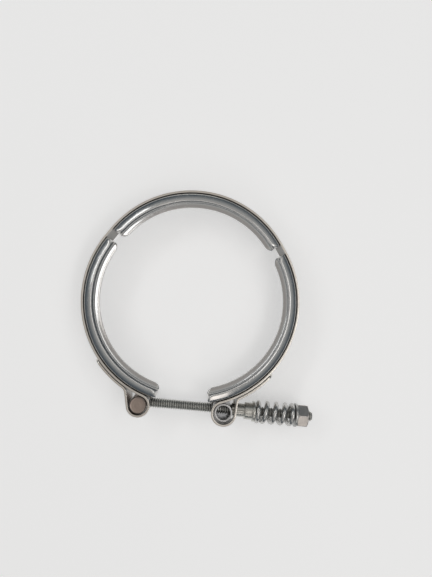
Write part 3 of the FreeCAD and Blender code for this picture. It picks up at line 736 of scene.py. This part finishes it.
def newGroup(name, inputs, outputs):
    # an empty node group with its sockets, and the nodes at its two ends
    tree = bpy.data.node_groups.new(name, "ShaderNodeTree")
    for label, kind in inputs:
        tree.interface.new_socket(label, in_out="INPUT", socket_type="NodeSocket" + kind)
    for label in outputs:
        tree.interface.new_socket(label, in_out="OUTPUT", socket_type="NodeSocketFloat")
    return tree, tree.nodes.new("NodeGroupInput").outputs, tree.nodes.new("NodeGroupOutput").inputs


def makeGrain():
    # Lines along the first direction of the map: noise whose map is squeezed along and stretched across.
    # Fine lines come from rolling or turning, broad ones from the tool's wear.
    tree, given, result = newGroup("steelGrain", [("Map", "Vector"), ("Lines", "Float"), ("Length", "Float")],
                                   ["Fine", "Broad"])
    for label, factor, detail in (("Fine", 1.0, 3.0), ("Broad", 0.4, 1.0)):
        across = calc(tree, "MULTIPLY", given["Lines"], factor)
        along = calc(tree, "DIVIDE", 1.0, given["Length"])
        scaled = add(tree, "ShaderNodeCombineXYZ", {"X": along, "Y": across, "Z": 0.0}).outputs[0]
        laid = add(tree, "ShaderNodeVectorMath", {0: given["Map"], 1: scaled}, operation="MULTIPLY")
        tree.links.new(noise(tree, laid.outputs[0], 1.0, detail, 0.62), result[label])
    return tree


def makeHandling():
    # Marks from handling: short scratches, where a stretched noise crosses its middle value inside a few
    # patches, smudges as a slow noise, and specks as the middles of some small cells.
    tree, given, result = newGroup("handlingMarks", [("Place", "Vector"), ("Scale", "Float")],
                                   ["Scratches", "Smudges", "Specks"])
    place = add(tree, "ShaderNodeVectorMath", {0: given["Place"], "Scale": given["Scale"]},
                operation="SCALE").outputs[0]
    lines = None
    for turn in (0.5, 1.9, 2.8):
        turned = add(tree, "ShaderNodeMapping", {"Vector": place, "Rotation": (0.3, 0.2, turn),
                                                 "Scale": (0.09, 1.6, 1.6)}).outputs[0]
        away = calc(tree, "ABSOLUTE", calc(tree, "SUBTRACT", noise(tree, turned, 1.0, 1.0), 0.5))
        line = spread(tree, away, 0.0, 0.006, 1.0, 0.0)
        lines = line if lines is None else calc(tree, "MAXIMUM", lines, line)
    some = spread(tree, noise(tree, place, 0.35, 2.0), 0.52, 0.62)
    tree.links.new(calc(tree, "MULTIPLY", lines, some), result["Scratches"])
    tree.links.new(spread(tree, noise(tree, place, 0.16, 4.0, 0.6), 0.36, 0.68), result["Smudges"])
    cells = add(tree, "ShaderNodeTexVoronoi", {"Vector": place, "Scale": 0.9})
    chosen = calc(tree, "GREATER_THAN", noise(tree, cells.outputs["Position"], 5.3, 0.0), 0.62)
    speck = spread(tree, cells.outputs["Distance"], 0.03, 0.09, 1.0, 0.0)
    tree.links.new(calc(tree, "MULTIPLY", speck, chosen), result["Specks"])
    return tree


def makeEdges():
    # The mesh's own fields, broken up by noise: worn edges, grime with painted shade in corners and where
    # parts meet, and spot welds.
    # The weld field is over 0.45 inside the weld and falls to 0 in the ring that its heat has tinted.
    tree, given, result = newGroup(
        "edgesAndCorners", [("Place", "Vector"), ("Worn", "Float"), ("GrimeAndShade", "Float"), ("Weld", "Float")],
        ["Wear", "DirtAndShade", "Pressed", "Tint"])
    rough = calc(tree, "SUBTRACT", noise(tree, given["Place"], 1400.0, 3.0, 0.6), 0.5)
    slow = calc(tree, "SUBTRACT", noise(tree, given["Place"], 260.0, 3.0, 0.6), 0.5)
    wear = calc(tree, "MULTIPLY_ADD", rough, 0.9, given["Worn"])
    tree.links.new(spread(tree, calc(tree, "MULTIPLY_ADD", slow, 0.6, wear), 0.25, 0.75), result["Wear"])
    # grime and painted shade, broken up by noise: darker in crevices and where parts meet
    dirtAndShade = calc(tree, "MULTIPLY_ADD", slow, 0.7, given["GrimeAndShade"])
    present = spread(tree, given["GrimeAndShade"], 0.0, 0.2)
    tree.links.new(calc(tree, "MULTIPLY", spread(tree, dirtAndShade, 0.1, 0.95), present), result["DirtAndShade"])
    weld = calc(tree, "MULTIPLY_ADD", slow, 0.12, given["Weld"])
    present = spread(tree, given["Weld"], 0.0, 0.05)
    tree.links.new(calc(tree, "MULTIPLY", spread(tree, weld, 0.42, 0.5), present), result["Pressed"])
    ring = calc(tree, "MULTIPLY", spread(tree, weld, 0.05, 0.4), spread(tree, weld, 0.7, 0.45))
    tree.links.new(calc(tree, "MULTIPLY", ring, present), result["Tint"])
    return tree


grainGroup, handlingGroup, edgesGroup = makeGrain(), makeHandling(), makeEdges()

# Each finish: colour, roughness, how much each effect shows, and the grain's lines a metre and length.
# A clean steel has neither dirt with painted shade nor wear.
clean = {"dirtAndShade": 0.0, "dirtAndShadeColour": (0.05, 0.05, 0.05), "wear": 0.0, "wearColour": (0.75, 0.72, 0.68)}
finishes = {
    # the segments' dirt colour is a blue-grey painted shade for the dark band by the bend
    "segmentSteel": {"colour": (0.60, 0.60, 0.595), "roughness": 0.13, "lines": 2600.0, "length": 0.08,
                     "grain": 0.10, "height": 1.3, "dirtAndShade": 0.4, "dirtAndShadeColour": (0.12, 0.13, 0.14),
                     "wear": 0.5, "wearColour": (0.75, 0.73, 0.70)},
    "strapSteel": {"colour": (0.58, 0.565, 0.54), "roughness": 0.24, "lines": 2600.0, "length": 0.03,
                   "grain": 0.14, "height": 0.5, "dirtAndShade": 0.5, "dirtAndShadeColour": (0.12, 0.12, 0.12),
                   "wear": 0.8, "wearColour": (0.78, 0.74, 0.68)},
    "boltSteel": {"colour": (0.56, 0.56, 0.54), "roughness": 0.24, "lines": 5000.0, "length": 0.01,
                  "grain": 0.1, "height": 0.3, "dirtAndShade": 0.6, "dirtAndShadeColour": (0.14, 0.14, 0.13),
                  "wear": 0.4, "wearColour": (0.72, 0.72, 0.68)},
    "barrelSteel": {**clean, "colour": (0.42, 0.345, 0.30), "roughness": 0.42, "lines": 2200.0,
                    "length": 0.006, "grain": 0.2, "height": 1.0},
    "tubeSteel": {**clean, "colour": (0.60, 0.60, 0.60), "roughness": 0.26, "lines": 3000.0,
                  "length": 0.01, "grain": 0.15, "height": 0.6},
    "seatSteel": {**clean, "colour": (0.58, 0.575, 0.54), "roughness": 0.25, "lines": 3500.0,
                  "length": 0.01, "grain": 0.14, "height": 0.6},
    "springSteel": {**clean, "colour": (0.60, 0.595, 0.58), "roughness": 0.2, "lines": 4200.0,
                    "length": 0.02, "grain": 0.12, "height": 0.4},
    "washerSteel": {**clean, "colour": (0.52, 0.52, 0.51), "roughness": 0.28, "lines": 3000.0,
                    "length": 0.01, "grain": 0.15, "height": 0.5},
    "nutSteel": {**clean, "colour": (0.62, 0.585, 0.555), "roughness": 0.27, "lines": 3600.0,
                 "length": 0.01, "grain": 0.16, "height": 0.5},
}
# What all finishes share: how far each mark shows in the colour, roughness and height
marks = {
    "streaks": 0.22, "streakShade": 0.72,
    "tint": 0.55, "tintColour": (0.30, 0.235, 0.19),
    "pressed": 0.35, "pressedColour": (0.44, 0.43, 0.42),
    "dust": 0.5, "dustColour": (0.30, 0.28, 0.26),
    "smudgeRough": 0.07, "scratchRough": 0.16, "pressedRough": 0.14, "dirtRough": 0.22, "wearRough": 0.05,
    "broadHeight": 1.6, "scratchDepth": 0.5, "speckHeight": 0.6,
    "bump": 0.6, "bumpDistance": 0.012 * mm,
}


def makeSteel(name):
    look, m = finishes[name], marks
    material = bpy.data.materials.new(name)
    material.use_nodes = True
    tree = material.node_tree
    shader = tree.nodes["Principled BSDF"]
    shader.inputs["Metallic"].default_value = 1.0
    surface = add(tree, "ShaderNodeUVMap", uv_map="grain").outputs[0]
    place = add(tree, "ShaderNodeTexCoord").outputs["Object"]
    field = {key: add(tree, "ShaderNodeAttribute", attribute_name=key.lower()).outputs["Fac"]
             for key in ("Worn", "GrimeAndShade", "Weld")}
    grain = add(tree, "ShaderNodeGroup", node_tree=grainGroup)
    handling = add(tree, "ShaderNodeGroup", node_tree=handlingGroup)
    edges = add(tree, "ShaderNodeGroup", node_tree=edgesGroup)
    for group, inputs in ((grain, {"Map": surface, "Lines": look["lines"], "Length": look["length"]}),
                          (handling, {"Place": place, "Scale": 1000.0}),
                          (edges, {"Place": place, **field})):
        for key, value in inputs.items():
            if isinstance(value, bpy.types.NodeSocket):
                tree.links.new(value, group.inputs[key])
            else:
                group.inputs[key].default_value = value
    fine, broad = grain.outputs["Fine"], grain.outputs["Broad"]
    scratches, smudges, specks = (handling.outputs[key] for key in ("Scratches", "Smudges", "Specks"))
    wear, dirtAndShade, pressed, tint = (edges.outputs[key] for key in ("Wear", "DirtAndShade", "Pressed", "Tint"))

    # colour: streaks, then worn edges, the welds' heat tint, and dirt with painted shade over all
    shade = (*(c * m["streakShade"] for c in look["colour"]), 1)
    colour = blended(tree, spread(tree, broad, 0.3, 0.7, 0.0, m["streaks"]), (*look["colour"], 1), shade)
    layers = ((wear, look["wear"], look["wearColour"]), (tint, m["tint"], m["tintColour"]),
              (pressed, m["pressed"], m["pressedColour"]), (specks, m["dust"], m["dustColour"]),
              (dirtAndShade, look["dirtAndShade"], look["dirtAndShadeColour"]))
    for mark, share, over in layers:
        colour = blended(tree, calc(tree, "MULTIPLY", mark, share), colour, (*over, 1))
    tree.links.new(colour, shader.inputs["Base Color"])

    # roughness: the grain, smudges, welds and dirt are duller, scratches too
    rough = calc(tree, "MULTIPLY_ADD", calc(tree, "SUBTRACT", fine, 0.5), look["grain"], look["roughness"])
    for mark, amount in ((smudges, m["smudgeRough"]), (scratches, m["scratchRough"]),
                         (pressed, m["pressedRough"]), (dirtAndShade, m["dirtRough"]),
                         (wear, m["wearRough"] * look["wear"])):
        rough = calc(tree, "MULTIPLY_ADD", mark, amount, rough)
    tree.links.new(rough, shader.inputs["Roughness"])

    # height: grain lines, scratches cut in, and specks standing up
    height = calc(tree, "MULTIPLY", broad, look["height"] * m["broadHeight"])
    for mark, amount in ((fine, look["height"]), (scratches, -m["scratchDepth"]),
                         (specks, m["speckHeight"])):
        height = calc(tree, "MULTIPLY_ADD", mark, amount, height)
    bump = add(tree, "ShaderNodeBump", {"Strength": m["bump"], "Distance": m["bumpDistance"],
                                        "Height": height})
    tree.links.new(bump.outputs[0], shader.inputs["Normal"])
    return material


dressed = {
    "segmentSteel": vSegments, "strapSteel": straps, "barrelSteel": [barrel], "boltSteel": [rod],
    "tubeSteel": [trunnion], "seatSteel": [seat], "springSteel": [spring], "washerSteel": [washer],
    "nutSteel": [hexNut],
}
for name, pieces in dressed.items():
    steel = makeSteel(name)
    for piece in pieces:
        piece.data.materials.clear()
        piece.data.materials.append(steel)
print("materials set")


# Floor, light and camera

studio = {
    "floorSize": 6.0,
    "floorColour": (0.86, 0.86, 0.86),
    "floorGlow": 0.36,                   # added where the camera or a reflection looks at the floor
    # the room's light by height: cosine of the angle from straight up, and colour
    "room": ((0.0, (0.17, 0.18, 0.18)), (0.25, (0.09, 0.105, 0.12)), (0.43, (0.085, 0.105, 0.125)),
             (0.54, (0.19, 0.205, 0.215)), (0.65, (0.42, 0.425, 0.42)), (0.78, (0.50, 0.50, 0.49)),
             (0.88, (0.40, 0.375, 0.36)), (0.93, (0.42, 0.40, 0.385)), (1.0, (0.47, 0.445, 0.42))),
    # soft boxes: angle from straight up, direction round, distance, width, height, brightness and colour
    "boxes": {"windowBox": (46.0, 150.0, 0.8, 0.56, 0.11, 2.5, (1, 1, 1)),
              "ceilingBox": (28.0, -18.0, 0.8, 0.46, 0.16, 2.4, (1, 1, 1)),
              "sideBox": (37.0, 32.0, 0.8, 0.42, 0.1, 1.25, (1, 0.98, 0.95)),
              "topBox": (14.0, -12.0, 0.8, 0.3, 0.12, 1.0, (1, 0.97, 0.93)),
              "lowBox": (55.0, -74.0, 0.8, 0.16, 0.22, 1.4, (1, 0.92, 0.86)),
              "backBox": (80.0, 96.0, 0.8, 0.4, 0.1, 1.4, (1, 0.98, 0.9))},
    "cameraPlace": (6.17 * mm, -0.27 * mm, 213.55 * mm),
    "cameraTurn": 5.41,
    "cameraTilt": (0.0255, 0.0179, 1),   # the upward direction as the camera sees it
    "focalPixels": 432.6,
    "longSide": 577,
}


def makeFloor():
    # a pale matt floor, a little brighter to the camera and in reflections, that keeps the shadow
    size = studio["floorSize"] / 2
    corners = np.array([(-size, -size, 0), (size, -size, 0), (size, size, 0), (-size, size, 0)])
    floor = meshObject("floor", corners, np.array([[0, 1, 2, 3]]))
    paint = bpy.data.materials.new("floorPaint")
    paint.use_nodes = True
    tree = paint.node_tree
    shader = tree.nodes["Principled BSDF"]
    shader.inputs["Base Color"].default_value = (*studio["floorColour"], 1)
    shader.inputs["Roughness"].default_value = 0.9
    shader.inputs["Specular IOR Level"].default_value = 0.1
    shader.inputs["Emission Color"].default_value = (1, 1, 1, 1)
    path = add(tree, "ShaderNodeLightPath").outputs
    seen = calc(tree, "MAXIMUM", calc(tree, "MAXIMUM", path["Is Camera Ray"], path["Is Glossy Ray"]),
                path["Is Transmission Ray"])
    tree.links.new(calc(tree, "MULTIPLY", seen, studio["floorGlow"]), shader.inputs["Emission Strength"])
    floor.data.materials.append(paint)


def makeRoom():
    world = bpy.data.worlds.new("studio")
    world.use_nodes = True
    tree = world.node_tree
    way = add(tree, "ShaderNodeTexCoord").outputs["Generated"]
    height = add(tree, "ShaderNodeSeparateXYZ", {"Vector": way}).outputs["Z"]
    ramp = add(tree, "ShaderNodeValToRGB", {"Fac": height})
    stops = ramp.color_ramp.elements
    while len(stops) > 1:
        stops.remove(stops[0])
    for index, (place, colour) in enumerate(studio["room"]):
        stop = stops[0] if index == 0 else stops.new(place)
        stop.position, stop.color = place, (*colour, 1)
    tree.links.new(ramp.outputs["Color"], tree.nodes["Background"].inputs["Color"])
    bpy.context.scene.world = world
    for name, (fromTop, around, distance, width, tall, brightness, colour) in studio["boxes"].items():
        lamp = bpy.data.lights.new(name, "AREA")
        lamp.shape, lamp.size, lamp.size_y = "RECTANGLE", width, tall
        lamp.energy, lamp.color = brightness * math.pi * width * tall, colour
        box = bpy.data.objects.new(name, lamp)
        top, turn = math.radians(fromTop), math.radians(around)
        place = Vector((math.sin(top) * math.cos(turn), math.sin(top) * math.sin(turn), math.cos(top)))
        box.location = place * distance
        box.rotation_euler = place.to_track_quat("Z", "Y").to_euler()
        bpy.context.scene.collection.objects.link(box)


def makeCamera():
    look = studio
    data = bpy.data.cameras.new("camera")
    data.sensor_width = 36
    data.lens = 36 * look["focalPixels"] / look["longSide"]
    data.clip_start, data.clip_end = 0.01, 20
    camera = bpy.data.objects.new("camera", data)
    tilt = Vector(look["cameraTilt"]).normalized().rotation_difference(Vector((0, 0, 1)))
    camera.rotation_mode = "QUATERNION"
    camera.rotation_quaternion = Quaternion((0, 0, 1), math.radians(look["cameraTurn"])) @ tilt
    camera.location = look["cameraPlace"]
    bpy.context.scene.collection.objects.link(camera)
    bpy.context.scene.camera = camera


makeFloor()
makeRoom()
makeCamera()
bpy.context.scene.view_settings.view_transform = "Standard"
print("stage, light and camera set")
